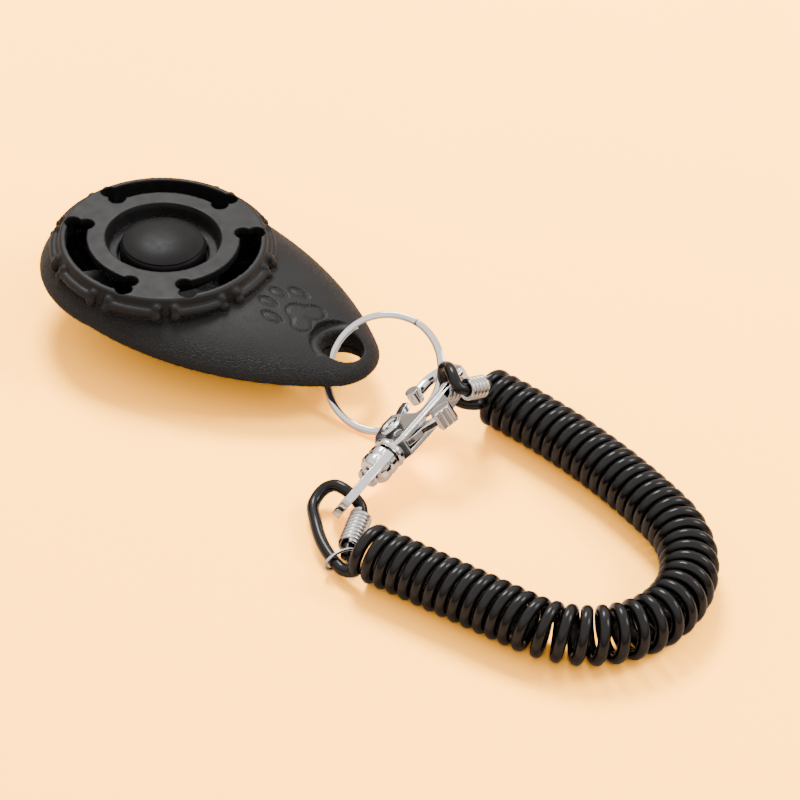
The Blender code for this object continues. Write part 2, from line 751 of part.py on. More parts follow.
def coil_centre():
    """Samples along the coil's axis: place, heading in radians and local pitch, every 0.1 mm."""
    place = Vector((COIL_START[0], COIL_START[1], 0.0))
    heading = 0.0
    step = 0.1
    samples = []
    for length, turn, pitch in COIL_ARCS:
        count = round(length / step)
        for _ in range(count):
            samples.append((place.copy(), heading, pitch))
            heading += math.radians(turn) / count
            place = place + Vector((math.cos(heading), math.sin(heading), 0.0)) * step
    samples.append((place.copy(), heading, COIL_ARCS[-1][2]))
    return samples, step


def coil_points(per_turn=8, first_angle=-150.0, last_angle=20.0):
    """Points of the left-handed helix about the coil's axis, eased from one pitch to the next."""
    samples, step = coil_centre()
    pitches = np.array([pitch for _, _, pitch in samples])
    window = 61
    eased = np.convolve(np.pad(pitches, window // 2, mode="edge"), np.ones(window) / window, "valid")
    phase = math.radians(first_angle)
    every = 2 * math.pi / per_turn
    since = every
    points = []
    phases = []
    for (place, heading, _), pitch in zip(samples, eased):
        if since >= every:
            since -= every
            left = Vector((-math.sin(heading), math.cos(heading), 0.0))
            rise = Vector((0.0, 0.0, COIL_Z + COIL_RADIUS * math.sin(phase)))
            points.append(place + left * (COIL_RADIUS * math.cos(phase)) + rise)
            phases.append(math.degrees(phase))
        turned_by = 2 * math.pi * step / pitch
        phase -= turned_by
        since += turned_by
    while abs((phases[-1] - last_angle + 180.0) % 360.0 - 180.0) > 180.0 / per_turn:
        phases.pop()
        points.pop()
    return points


def near_crimp_ends():
    return in_snap(1.9, -8.0, -2.75), Vector((61.2, -35.6, 2.25))


def near_end():
    """The cord from its free end, through the near crimp, round the eye and on to the coil."""
    eye_side, end_side = near_crimp_ends()
    return [
        (62.1, -37.6, 2.2),
        end_side,
        (eye_side + end_side) / 2,
        eye_side,
        in_snap(1.3, -6.7, -1.7),
        in_snap(0.0, -6.1, 0.0),
        in_snap(-1.5, -5.9, 1.3),
        in_snap(-3.1, -6.0, 2.0),
        in_snap(-4.7, -7.2, 2.1),
        in_snap(-4.6, -10.4, 1.8),
        (53.6, -33.6, 2.3),
        (57.0, -37.0, 2.2),
        (60.6, -39.4, 2.1),
        (63.4, -40.5, 2.0),
    ]


def far_crimp_ends():
    return in_snap(5.75, 20.1, 0.35), in_snap(4.9, 23.9, -2.3)


def far_end():
    """The cord from the coil, under the hook, up round its spine and back into the far crimp."""
    hook_side, end_side = far_crimp_ends()
    return [
        in_snap(2.6, 22.6, -5.2),
        in_snap(1.7, 21.4, -4.1),
        in_snap(0.6, 21.0, -3.2),
        in_snap(-0.4, 21.2, -2.0),
        in_snap(-0.8, 21.5, -0.4),
        in_snap(-0.75, 21.9, 1.4),
        in_snap(0.2, 22.3, 3.0),
        in_snap(1.9, 22.0, 3.4),
        in_snap(3.5, 21.0, 3.4),
        in_snap(4.9, 19.7, 2.5),
        in_snap(5.6, 19.2, 1.4),
        hook_side,
        (hook_side + end_side) / 2,
        end_side,
        end_side + (end_side - hook_side).normalized() * 1.0,
    ]


def wrist_coil(rubber):
    helix = coil_points()
    start = through(near_end() + [helix[0], helix[1]], 0.9)[:-1]
    end = through([helix[-2], helix[-1]] + far_end(), 0.9)[1:]
    points = start + helix[1:-1] + end
    return finish(tube("wrist_coil", points, CORD_RADIUS, 1), rubber)


def crimp(name, start, end, steel):
    """A wire wound round the cord's end."""
    length = (Vector(end) - Vector(start)).length
    turns = round(length / 0.93)
    points = helix_along(start, end, CORD_RADIUS + 0.52, turns, 9)
    return finish(tube(name, points, 0.36, 0), steel)


def band(name, centre, first, second, steel):
    """A wire tie round two strands that lie side by side, first and second being its half axes."""
    centre, first, second = Vector(centre), Vector(first), Vector(second)
    points = []
    for k in range(20):
        a = 2 * math.pi * k / 20
        points.append(centre + first * math.cos(a) + second * math.sin(a))
    return finish(tube(name, points, 0.3, 0, cyclic=True), steel)


# ---------------------------------------------------------------- assembly

def build():
    plastic = material("body_plastic", (0.018, 0.018, 0.02), 0.5)
    button_plastic = material("button_plastic", (0.015, 0.015, 0.016), 0.38)
    inner_plastic = material("inner_plastic", (0.05, 0.05, 0.055), 0.5)
    steel = material("spring_steel", (0.6, 0.6, 0.6), 0.3, 1.0)
    screw_steel = material("screw_steel", (0.5, 0.5, 0.5), 0.35, 1.0)
    chrome = material("chrome", (0.8, 0.8, 0.8), 0.08, 1.0)
    rubber = material("cord_rubber", (0.006, 0.006, 0.007), 0.18)

    upper_shell(plastic)
    lower_shell(plastic)
    button_cap(button_plastic)
    click_reed(steel)
    reed_holder(inner_plastic)

    for k, angle in enumerate(SCREW_ANGLES):
        screw = screw_body(f"case_screw_{k + 1}", 1.9, 1.5, 0.9, 6.8, screw_steel)
        x, y = polar(SCREW_RADIUS_AT, angle)
        screw.location = Vector((x, y, 6.3)) * MM
    reed_screw = screw_body("reed_screw", 1.5, 1.1, 0.75, 4.4, screw_steel)
    x, y = polar(REED_SCREW_AT, REED_ANGLE)
    reed_screw.rotation_euler.x = math.pi
    reed_screw.location = Vector((x, y, 10.0)) * MM

    split_ring(chrome)
    clasp_body(chrome)
    clasp_lever(chrome)
    lever_pin(steel)
    lever_spring(steel)
    swivel_eye(chrome)
    swivel_rivet(steel)
    wrist_coil(rubber)
    crimp("near_cord_crimp", *near_crimp_ends(), steel)
    band("near_cord_band", (61.6, -38.6, 2.1), (1.22, 2.7, 0.0), (0.0, 0.0, 1.68), steel)
    crimp("far_cord_crimp", *far_crimp_ends(), steel)


build()
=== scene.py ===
"""The clicker trainer's looks: finer plastic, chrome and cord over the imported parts, on a pale table."""

import math

import bmesh
import bpy
import numpy as np
from mathutils import Matrix, Vector


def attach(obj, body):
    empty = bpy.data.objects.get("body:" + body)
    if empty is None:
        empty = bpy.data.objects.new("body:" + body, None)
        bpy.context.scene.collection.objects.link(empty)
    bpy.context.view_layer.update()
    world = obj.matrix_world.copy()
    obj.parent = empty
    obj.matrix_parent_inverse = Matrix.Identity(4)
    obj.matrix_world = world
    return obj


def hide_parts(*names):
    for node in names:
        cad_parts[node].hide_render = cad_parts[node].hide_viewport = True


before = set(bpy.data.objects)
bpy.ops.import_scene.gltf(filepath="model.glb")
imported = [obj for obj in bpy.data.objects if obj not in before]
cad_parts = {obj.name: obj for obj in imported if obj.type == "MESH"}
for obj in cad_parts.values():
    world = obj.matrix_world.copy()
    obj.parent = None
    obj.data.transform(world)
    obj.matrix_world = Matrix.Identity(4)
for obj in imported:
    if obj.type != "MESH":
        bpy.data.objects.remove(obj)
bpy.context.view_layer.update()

MM = 0.001

# Body, in millimetres.
ROUND_RADIUS = 21.4
TAIL_RADIUS = 9.3
BODY_TIP_X = 43.0
SIDE_RADIUS = 58.0
EQUATOR_Z = 10.6
EQUATOR_DROP = 4.3
CROWN = 6.2
DEPTH = 13.3
WALL = 1.6
SEAM_GAP = 0.2
PLATFORM_Z = 17.0
PLATFORM_RADIUS = 17.9
RECESS_RADIUS = 10.0
BUTTON_RADIUS = 7.5
SLOT_RADIUS = 15.05
SLOT_HALF_ANGLE = 40.0
SLOT_HALF_WIDTH = 1.8
LOBE_RADIUS = 1.45
LOBE_OFFSET = 1.2
BONE_COUNT = 10
BONE_HALF_ANGLE = 12.6
BONE_BAR_RADIUS = 0.85
BONE_KNOB_RADIUS = 0.95
BONE_RING_RADIUS = 18.8
BONE_RING_Z = 14.8
HOLE_X = 37.0
HOLE_RADIUS = 3.7
HOLE_FLARE = 0.9
HOLE_LOW_Z = 5.0
HOLE_HIGH_Z = 10.2
SCREW_RADIUS_AT = 14.6
SCREW_ANGLES = (60.0, 180.0, 300.0)

# Hardware and cord, in millimetres.
RING_CENTRE = (45.3, 0.2, 7.62)
RING_TILT = 48.0
RING_RADIUS = 10.2
RING_WIRE = 0.6
RING_HALF_GAP = 0.33
RING_CROSSOVER = (95.0, 140.0)
SNAP_ORIGIN = (56.25, -20.2, 5.4)
SNAP_AXIS = (0.070, 0.969, 0.239)
SNAP_ROLL = 32.0
CORD_RADIUS = 1.03
CRIMP_WIRE = 0.4
CRIMP_PITCH = 0.93
CRIMP_REACH = 0.52
BAND_WIRE = 0.3
COIL_RADIUS = 3.85
COIL_Z = 4.92
COIL_START = (65.5, -37.2)
COIL_ARCS = ((29.8, 0.0, 2.30), (27.0, 90.0, 2.80), (22.1, 65.0, 2.72), (41.9, 20.0, 2.33))

# Floor: colour met by the camera, colour seen in reflections, and the colour it gives to the object.
FLOOR_SEEN = (9.6, 4.3, 0.38)
FLOOR_SHINES = (1.9, 1.35, 0.95)
FLOOR_GIVES = (0.70, 0.44, 0.27)

# Lights as (place in metres, size, power), the room's glow and the camera.
LIGHT_AIM = (0.05, -0.01, 0.0)
KEY_LIGHT = ((-0.30, 0.34, 0.62), 0.30, 3.4)
RIM_LIGHT = ((0.42, 0.30, 0.42), 0.22, 0.9)
WHITE = (1.0, 1.0, 1.0)
ROOM_LOW = (0.20, 0.15, 0.11)
ROOM_HIGH = (1.0, 0.93, 0.87)
ROOM_RISE = 0.6
ROOM_GLOW = 0.42
ROOM_SHINE = 1.5
VIEW_BACK = (0.385, -0.676, 0.629)
VIEW_RIGHT = (0.849, 0.527, 0.046)
VIEW_TARGET = (45.48, 5.91, -2.0)
VIEW_DISTANCE = 0.6
VIEW_LENS = 156.86

# Paw print: its centre line, toes as (x, y, half length, half width) and pad discs as (x, y, radius).
PAW_LINE_Y = 0.7
PAW_TOES = ((24.9, 4.2, 2.2, 1.15), (22.4, 1.6, 2.0, 1.1), (22.4, -1.6, 2.0, 1.1), (24.9, -4.2, 2.2, 1.15))
PAW_PAD = ((27.2, 0.0, 2.0), (29.6, 2.0, 2.0), (29.6, -2.0, 2.0))
PAW_DEPTH = 0.30
PAD_BLEND = 0.55
PAW_EDGE = 0.25
PAW_LINE = 0.5
PAW_FADE = 0.8


# ---------------------------------------------------------------- materials

class Nodes:
    """Short-hand for building one material's node tree."""

    def __init__(self, name, base, roughness, metallic=0.0):
        self.made = bpy.data.materials.new(name)
        self.made.use_nodes = True
        self.tree = self.made.node_tree
        self.shader = self.tree.nodes["Principled BSDF"]
        self.shader.inputs["Base Color"].default_value = (*base, 1.0)
        self.shader.inputs["Roughness"].default_value = roughness
        self.shader.inputs["Metallic"].default_value = metallic
        self.place = self.tree.nodes.new("ShaderNodeTexCoord").outputs["Object"]

    def add(self, kind, **settings):
        node = self.tree.nodes.new(kind)
        for key, value in settings.items():
            if key in node.inputs:
                node.inputs[key].default_value = value
            else:
                setattr(node, key, value)
        return node

    def link(self, source, target):
        self.tree.links.new(source, target)
        return self

    def noise(self, scale, detail=3.0, roughness=0.5):
        node = self.add("ShaderNodeTexNoise")
        node.inputs["Scale"].default_value = scale / MM
        node.inputs["Detail"].default_value = detail
        node.inputs["Roughness"].default_value = roughness
        self.link(self.place, node.inputs["Vector"])
        return node.outputs["Fac"]

    def spread(self, source, low, high):
        """A 0..1 value turned into the range low..high."""
        node = self.add("ShaderNodeMapRange")
        node.inputs["From Min"].default_value = 0.3
        node.inputs["From Max"].default_value = 0.7
        node.inputs["To Min"].default_value = low
        node.inputs["To Max"].default_value = high
        self.link(source, node.inputs["Value"])
        return node.outputs["Result"]

    def tint(self, source, dark, light):
        node = self.add("ShaderNodeMix", data_type="RGBA")
        node.inputs["A"].default_value = (*dark, 1.0)
        node.inputs["B"].default_value = (*light, 1.0)
        self.link(self.spread(source, 0.0, 1.0), node.inputs["Factor"])
        self.link(node.outputs["Result"], self.shader.inputs["Base Color"])
        return self

    def rough(self, source, low, high):
        return self.link(self.spread(source, low, high), self.shader.inputs["Roughness"])

    def bump(self, height, distance, strength=1.0):
        node = self.add("ShaderNodeBump")
        node.inputs["Distance"].default_value = distance * MM
        node.inputs["Strength"].default_value = strength
        self.link(height, node.inputs["Height"])
        self.link(node.outputs["Normal"], self.shader.inputs["Normal"])
        return self

    def math(self, operation, first, second):
        node = self.add("ShaderNodeMath", operation=operation)
        for socket, value in zip(node.inputs, (first, second)):
            if isinstance(value, (int, float)):
                socket.default_value = value
            else:
                self.link(value, socket)
        return node.outputs["Value"]


def grained_plastic():
    """Black moulded plastic: leather grain on the body, fading out on the platform and beside the paw."""
    m = Nodes("grained_plastic", (0.022, 0.022, 0.023), 0.5)
    m.tint(m.noise(0.25, 5.0), (0.018, 0.018, 0.019), (0.026, 0.026, 0.027))
    warp = m.noise(0.5, 4.0)
    cells = m.add("ShaderNodeTexVoronoi", feature="DISTANCE_TO_EDGE")
    cells.inputs["Scale"].default_value = 1.9 / MM
    shift = m.add("ShaderNodeVectorMath", operation="MULTIPLY_ADD")
    colour = m.add("ShaderNodeTexNoise")
    colour.inputs["Scale"].default_value = 1.1 / MM
    m.link(m.place, colour.inputs["Vector"])
    m.link(colour.outputs["Color"], shift.inputs[0])
    shift.inputs[1].default_value = (0.5 * MM, 0.5 * MM, 0.5 * MM)
    m.link(m.place, shift.inputs[2])
    m.link(shift.outputs["Vector"], cells.inputs["Vector"])
    grain = m.math("MINIMUM", cells.outputs["Distance"], 0.22)
    grain = m.math("MULTIPLY", grain, 1.6)
    fine = m.math("MULTIPLY", m.noise(5.0, 3.0), 0.25)
    height = m.math("ADD", grain, fine)
    where = m.add("ShaderNodeSeparateXYZ")
    m.link(m.place, where.inputs["Vector"])
    normal = m.add("ShaderNodeNewGeometry")
    facing = m.add("ShaderNodeSeparateXYZ")
    m.link(normal.outputs["Normal"], facing.inputs["Vector"])
    steep = m.add("ShaderNodeMapRange", interpolation_type="SMOOTHSTEP")
    steep.inputs["From Min"].default_value = 0.97
    steep.inputs["From Max"].default_value = 0.80
    steep.inputs["To Min"].default_value = 0.12
    steep.inputs["To Max"].default_value = 1.0
    m.link(facing.outputs["Z"], steep.inputs["Value"])
    low = m.add("ShaderNodeMapRange", interpolation_type="SMOOTHSTEP")
    low.inputs["From Min"].default_value = 15.6 * MM
    low.inputs["From Max"].default_value = 14.0 * MM
    low.inputs["To Min"].default_value = 0.1
    m.link(where.outputs["Z"], low.inputs["Value"])
    share = m.math("MULTIPLY", steep.outputs["Result"], low.outputs["Result"])
    m.bump(m.math("MULTIPLY", height, share), 0.24, 1.0)
    m.rough(warp, 0.42, 0.54)
    m.shader.inputs["Specular IOR Level"].default_value = 0.26
    return m.made


def plain_plastic(name, base, rough_low, rough_high, specular=0.5):
    m = Nodes(name, base, rough_low)
    m.tint(m.noise(0.4, 4.0), tuple(0.85 * c for c in base), tuple(1.15 * c for c in base))
    m.rough(m.noise(0.9, 3.0), rough_low, rough_high)
    m.bump(m.noise(4.0, 2.0), 0.01, 0.5)
    m.shader.inputs["Specular IOR Level"].default_value = specular
    return m.made


def metal(name, base, rough_low, rough_high, ripple=0.006):
    m = Nodes(name, base, rough_low, 1.0)
    m.tint(m.noise(0.6, 3.0), tuple(0.93 * c for c in base), base)
    m.rough(m.noise(1.6, 4.0), rough_low, rough_high)
    m.bump(m.noise(0.8, 2.0), ripple, 0.6)
    return m.made


def cord_rubber():
    m = Nodes("cord_gloss", (0.006, 0.006, 0.007), 0.2)
    m.tint(m.noise(0.3, 3.0), (0.005, 0.005, 0.006), (0.009, 0.009, 0.010))
    m.rough(m.noise(1.2, 4.0), 0.14, 0.24)
    m.bump(m.noise(2.2, 3.0), 0.008, 0.5)
    m.shader.inputs["Specular IOR Level"].default_value = 0.35
    return m.made


BODY = grained_plastic()
BUTTON = plain_plastic("button_satin", (0.018, 0.018, 0.019), 0.34, 0.42, 0.12)
INNER = plain_plastic("holder_plastic", (0.045, 0.045, 0.05), 0.45, 0.6)
CHROME = metal("chrome_plate", (0.86, 0.86, 0.87), 0.04, 0.10)
STEEL = metal("sprung_steel", (0.72, 0.71, 0.70), 0.16, 0.26)
ZINC = metal("zinc_steel", (0.55, 0.55, 0.56), 0.25, 0.4)
CORD = cord_rubber()


def dress(obj, made):
    obj.data.materials.clear()
    obj.data.materials.append(made)
    return obj


# ---------------------------------------------------------------- shape helpers

def link(obj):
    bpy.context.scene.collection.objects.link(obj)
    return obj


def mesh_object(name, bm):
    bmesh.ops.recalc_face_normals(bm, faces=bm.faces)
    if bm.calc_volume(signed=True) < 0:
        bmesh.ops.reverse_faces(bm, faces=bm.faces)
    mesh = bpy.data.meshes.new(name)
    bm.to_mesh(mesh)
    bm.free()
    return link(bpy.data.objects.new(name, mesh))


def applied(obj):
    """The object with its modifiers made real."""
    bpy.context.view_layer.update()
    graph = bpy.context.evaluated_depsgraph_get()
    mesh = bpy.data.meshes.new_from_object(obj.evaluated_get(graph))
    matrix = obj.matrix_world.copy()
    name = obj.name
    bpy.data.objects.remove(obj, do_unlink=True)
    made = link(bpy.data.objects.new(name, mesh))
    made.matrix_world = matrix
    return made


def weld(obj):
    """Closes the seams of a generated mesh and turns its faces outwards."""
    bm = bmesh.new()
    bm.from_mesh(obj.data)
    bmesh.ops.remove_doubles(bm, verts=bm.verts, dist=0.000001)
    bmesh.ops.recalc_face_normals(bm, faces=bm.faces)
    bm.to_mesh(obj.data)
    bm.free()
    return obj


def combine(obj, other, operation):
    change = obj.modifiers.new(operation, "BOOLEAN")
    change.operation = operation
    change.solver = "MANIFOLD"
    change.object = other
    made = applied(obj)
    bpy.data.objects.remove(other, do_unlink=True)
    return made


def join(obj, other):
    return combine(obj, other, "UNION")


def cut(obj, other):
    return combine(obj, other, "DIFFERENCE")


def soften(obj, voxel, rounds, factor=0.5):
    """Rounds every edge slightly, as on a moulded or cast piece."""
    remesh = obj.modifiers.new("remesh", "REMESH")
    remesh.mode = "VOXEL"
    remesh.voxel_size = voxel * MM
    blur = obj.modifiers.new("blur", "SMOOTH")
    blur.factor = factor
    blur.iterations = rounds
    made = applied(obj)
    made.data.shade_smooth()
    return made


def cylinder(name, radius, low, high, centre=(0.0, 0.0), segments=48):
    bm = bmesh.new()
    bmesh.ops.create_cone(
        bm,
        cap_ends=True,
        segments=segments,
        radius1=radius * MM,
        radius2=radius * MM,
        depth=(high - low) * MM,
    )
    middle = (centre[0] * MM, centre[1] * MM, (low + high) / 2 * MM)
    bmesh.ops.translate(bm, verts=bm.verts, vec=middle)
    return mesh_object(name, bm)


def box(name, low, high):
    bm = bmesh.new()
    bmesh.ops.create_cube(bm, size=MM)
    bmesh.ops.scale(bm, verts=bm.verts, vec=[b - a for a, b in zip(low, high)])
    bmesh.ops.translate(bm, verts=bm.verts, vec=[(a + b) / 2 * MM for a, b in zip(low, high)])
    return mesh_object(name, bm)


def turned(name, profile, segments=96):
    bm = bmesh.new()
    verts = [bm.verts.new((r * MM, 0, z * MM)) for r, z in profile]
    for first, second in zip(verts, verts[1:]):
        bm.edges.new((first, second))
    mesh = bpy.data.meshes.new(name)
    bm.to_mesh(mesh)
    bm.free()
    obj = link(bpy.data.objects.new(name, mesh))
    screw = obj.modifiers.new("turn", "SCREW")
    screw.steps = segments
    screw.render_steps = segments
    screw.use_merge_vertices = True
    screw.merge_threshold = 0.00001
    return weld(applied(obj))


def plate(name, outline, low, high):
    curve = bpy.data.curves.new(name, "CURVE")
    curve.dimensions = "2D"
    curve.fill_mode = "BOTH"
    curve.extrude = (high - low) / 2 * MM
    spline = curve.splines.new("POLY")
    spline.points.add(len(outline) - 1)
    for point, (x, y) in zip(spline.points, outline):
        point.co = (x * MM, y * MM, 0, 1)
    spline.use_cyclic_u = True
    made = applied(link(bpy.data.objects.new(name, curve)))
    made.data.transform(Matrix.Translation((0, 0, (low + high) / 2 * MM)))
    return weld(made)


def tube(name, points, radius, bevel=4, cyclic=False):
    curve = bpy.data.curves.new(name, "CURVE")
    curve.dimensions = "3D"
    curve.bevel_depth = radius * MM
    curve.bevel_resolution = bevel
    curve.use_fill_caps = not cyclic
    spline = curve.splines.new("POLY")
    spline.points.add(len(points) - 1)
    for point, place in zip(spline.points, points):
        point.co = (*[value * MM for value in place], 1)
    spline.use_cyclic_u = cyclic
    made = weld(applied(link(bpy.data.objects.new(name, curve))))
    made.data.shade_smooth()
    return made


def arc(centre, radius, start, end, steps):
    angles = np.radians(np.linspace(start, end, steps + 1))
    return [(centre[0] + radius * math.cos(a), centre[1] + radius * math.sin(a)) for a in angles]


def polar(radius, angle):
    a = math.radians(angle)
    return (radius * math.cos(a), radius * math.sin(a))


def spin(obj, angle):
    obj.data.transform(Matrix.Rotation(math.radians(angle), 4, "Z"))
    return obj


def through(points, step):
    """A smooth path through the points: centripetal Catmull-Rom, resampled at about one step."""
    given = [Vector(p) for p in points]
    padded = [2 * given[0] - given[1], *given, 2 * given[-1] - given[-2]]
    path = [given[0]]
    for i in range(1, len(padded) - 2):
        p0, p1, p2, p3 = padded[i - 1 : i + 3]
        t1 = (p1 - p0).length ** 0.5
        t2 = t1 + (p2 - p1).length ** 0.5
        t3 = t2 + (p3 - p2).length ** 0.5
        count = max(1, round((p2 - p1).length / step))
        for k in range(1, count + 1):
            t = t1 + (t2 - t1) * k / count
            a1 = p0.lerp(p1, t / t1)
            a2 = p1.lerp(p2, (t - t1) / (t2 - t1))
            a3 = p2.lerp(p3, (t - t2) / (t3 - t2))
            b1 = a1.lerp(a2, t / t2)
            b2 = a2.lerp(a3, (t - t1) / (t3 - t1))
            path.append(b1.lerp(b2, (t - t1) / (t2 - t1)))
    return path


def helix_along(start, end, radius, turns, per_turn=28):
    start, end = Vector(start), Vector(end)
    turn_to = (end - start).to_track_quat("Z", "X").to_matrix()
    count = round(turns * per_turn)
    points = []
    for k in range(count + 1):
        angle = 2 * math.pi * turns * k / count
        offset = Vector((radius * math.cos(angle), radius * math.sin(angle), 0))
        points.append(start.lerp(end, k / count) + turn_to @ offset)
    return points


# ---------------------------------------------------------------- the egg-shaped body

def half_width(x):
    tail_x = BODY_TIP_X - TAIL_RADIUS
    to_round = SIDE_RADIUS - ROUND_RADIUS
    to_tail = SIDE_RADIUS - TAIL_RADIUS
    side_x = (to_round**2 - to_tail**2 + tail_x**2) / (2 * tail_x)
    side_y = math.sqrt(to_round**2 - side_x**2)
    join_round = -side_x * ROUND_RADIUS / to_round
    join_tail = tail_x + (tail_x - side_x) * TAIL_RADIUS / to_tail
    if x <= join_round:
        return math.sqrt(max(ROUND_RADIUS**2 - x**2, 0.0))
    if x >= join_tail:
        return math.sqrt(max(TAIL_RADIUS**2 - (x - tail_x) ** 2, 0.0))
    return math.sqrt(SIDE_RADIUS**2 - (x - side_x) ** 2) - side_y


def equator(x):
    return EQUATOR_Z - EQUATOR_DROP * max(x / BODY_TIP_X, 0.0) ** 0.8


def crown_share(x):
    share = half_width(x) / ROUND_RADIUS
    return share if x < 0 else share**0.69


def depth_share(x):
    share = half_width(x) / ROUND_RADIUS
    return share**2.4 if x < 0 else share**2.23


def egg(name, inset=0.0, end_x=None, rings=72, around=96):
    bm = bmesh.new()
    bmesh.ops.create_uvsphere(bm, u_segments=around, v_segments=rings, radius=1.0)
    low_x = -ROUND_RADIUS + inset
    high_x = BODY_TIP_X if end_x is None else end_x
    for vert in bm.verts:
        along = vert.co.z
        x = (low_x + high_x) / 2 + along * (high_x - low_x) / 2
        angle = math.atan2(vert.co.y, vert.co.x)
        side, rise = math.cos(angle), math.sin(angle)
        if abs(along) > 0.9999:
            side = rise = 0.0
        width = max(half_width(x) - inset, 0.0)
        if end_x is not None:
            width *= math.sqrt(max(1 - max((x - end_x + 4) / 4, 0.0) ** 2, 0.0))
        ends = min(width / max(half_width(x), 0.001), 1.0) if inset else 1.0
        if rise >= 0:
            z = equator(x) + max(CROWN * crown_share(x) - inset, 0.0) * rise * ends
        else:
            drop = DEPTH * depth_share(x) * abs(rise) ** 2.4
            z = max(equator(x) - max(drop - inset * abs(rise), 0.0) * ends, inset)
        vert.co = Vector((x, width * side, z)) * MM
    return mesh_object(name, bm)


def under_seam(name, shift):
    xs = np.linspace(-30.0, 50.0, 65)
    outline = [(x, equator(x) + shift) for x in xs] + [(50.0, -12.0), (-30.0, -12.0)]
    block = plate(name, outline, -30.0, 30.0)
    block.data.transform(Matrix.Rotation(math.radians(90), 4, "X"))
    return block


def bone_slot(name, angle):
    outer = arc((0, 0), SLOT_RADIUS + SLOT_HALF_WIDTH, -SLOT_HALF_ANGLE, SLOT_HALF_ANGLE, 40)
    inner = arc((0, 0), SLOT_RADIUS - SLOT_HALF_WIDTH, SLOT_HALF_ANGLE, -SLOT_HALF_ANGLE, 40)
    slot = plate(name, outer + inner, 11.0, 19.0)
    for end in (-1, 1):
        for offset in (-LOBE_OFFSET, LOBE_OFFSET):
            centre = polar(SLOT_RADIUS + offset, end * (SLOT_HALF_ANGLE + 0.5))
            slot = join(slot, cylinder("lobe", LOBE_RADIUS, 10.99, 19.01, centre, 36))
    return spin(slot, angle)


def bone_relief(name, angle):
    half = BONE_HALF_ANGLE
    bar = [(x, y, BONE_RING_Z) for x, y in arc((0, 0), BONE_RING_RADIUS, -half, half, 12)]
    bone = tube(name, bar, BONE_BAR_RADIUS, 4)
    for end in (-1, 1):
        for offset, rise in ((-0.35, 0.55), (0.35, -0.5)):
            x, y = polar(BONE_RING_RADIUS + offset, end * (half + 0.6))
            knob = bmesh.new()
            bmesh.ops.create_icosphere(knob, subdivisions=3, radius=BONE_KNOB_RADIUS * MM)
            bmesh.ops.translate(knob, verts=knob.verts, vec=Vector((x, y, BONE_RING_Z + rise)) * MM)
            bone = join(bone, mesh_object("knob", knob))
    return spin(bone, angle)


def hole_cutter(name):
    wide = HOLE_RADIUS + HOLE_FLARE + 1
    middle_low = HOLE_LOW_Z + HOLE_FLARE
    middle_high = HOLE_HIGH_Z - HOLE_FLARE
    profile = [(0.0, HOLE_HIGH_Z + 4), (wide, HOLE_HIGH_Z + 4), (wide, HOLE_HIGH_Z + 0.02)]
    for k in range(11):
        a = math.radians(9 * k)
        profile.append((HOLE_RADIUS + HOLE_FLARE * (1 - math.sin(a)), middle_high + HOLE_FLARE * math.cos(a)))
    for k in range(11):
        a = math.radians(9 * k)
        profile.append((HOLE_RADIUS + HOLE_FLARE * (1 - math.cos(a)), middle_low - HOLE_FLARE * math.sin(a)))
    profile += [(wide, HOLE_LOW_Z - 0.02), (wide, -2.0), (0.0, -2.0)]
    cutter = turned(name, profile, 64)
    cutter.data.transform(Matrix.Translation((HOLE_X * MM, 0, 0)))
    return cutter


def paw_depth(x, y):
    """How deep, from 0 to 1, the paw print is pressed in: deepest just inside its outline."""
    y = y - PAW_LINE_Y
    toes = [(1 - math.hypot((x - cx) / long, (y - cy) / wide)) * wide for cx, cy, long, wide in PAW_TOES]
    discs = [radius - math.hypot(x - cx, y - cy) for cx, cy, radius in PAW_PAD]
    pad = PAD_BLEND * math.log(sum(math.exp(reach / PAD_BLEND) for reach in discs))
    inside = max(*toes, pad)
    share = min(max(inside / PAW_EDGE, 0.0), 1.0)
    fade = min(max((inside - PAW_EDGE) / PAW_LINE, 0.0), 1.0)
    return share * (1.0 - PAW_FADE * fade)


def press_paw(mesh):
    count = len(mesh.vertices)
    places = np.empty(3 * count, np.float32)
    mesh.vertices.foreach_get("co", places)
    facing = np.empty(3 * count, np.float32)
    mesh.vertex_normals.foreach_get("vector", facing)
    places = places.reshape(-1, 3)
    facing = facing.reshape(-1, 3)
    for k in np.flatnonzero((places[:, 0] > 19.5 * MM) & (places[:, 0] < 32.5 * MM) & (facing[:, 2] > 0.3)):
        x, y, z = places[k] / MM
        if z > equator(x) + 2.5:
            places[k, 2] -= PAW_DEPTH * paw_depth(x, y) * MM
    mesh.vertices.foreach_set("co", places.ravel())
    mesh.update()


